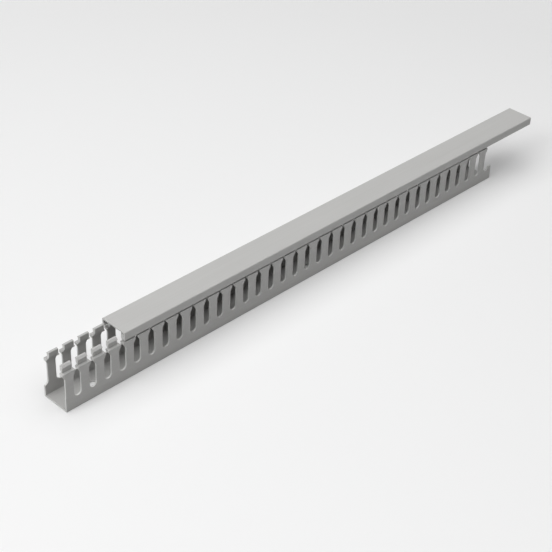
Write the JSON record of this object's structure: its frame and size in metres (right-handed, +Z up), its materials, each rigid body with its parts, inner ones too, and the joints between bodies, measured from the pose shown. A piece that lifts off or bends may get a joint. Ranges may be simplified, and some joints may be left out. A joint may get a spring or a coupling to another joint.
{
  "type": "slotted wiring duct",
  "caption": "Grey slotted wiring duct with fingered walls and a clip-on cover slid part of the way along it.",
  "frame": {"origin": "middle of the base's underside: half its cut length and half its width, on the mounting plane", "axes": "+X along the duct towards the end where the cover overhangs, +Z up out of the open side, +Y across to the far wall"},
  "size_m": [0.5578, 0.026, 0.044],
  "materials": {
    "base_pvc": "satin extruded grey PVC",
    "cover_pvc": "satin extruded grey PVC"
  },
  "bodies": {
    "base": {"slotted_base": "base_pvc"},
    "cover": {"clip_on_cover": "cover_pvc"}
  },
  "joints": [
    {"name": "cover_slide", "type": "slide", "parent": "base", "child": "cover", "axis": [1, 0, 0], "range_m": [-0.0562, 0.394]}
  ]
}
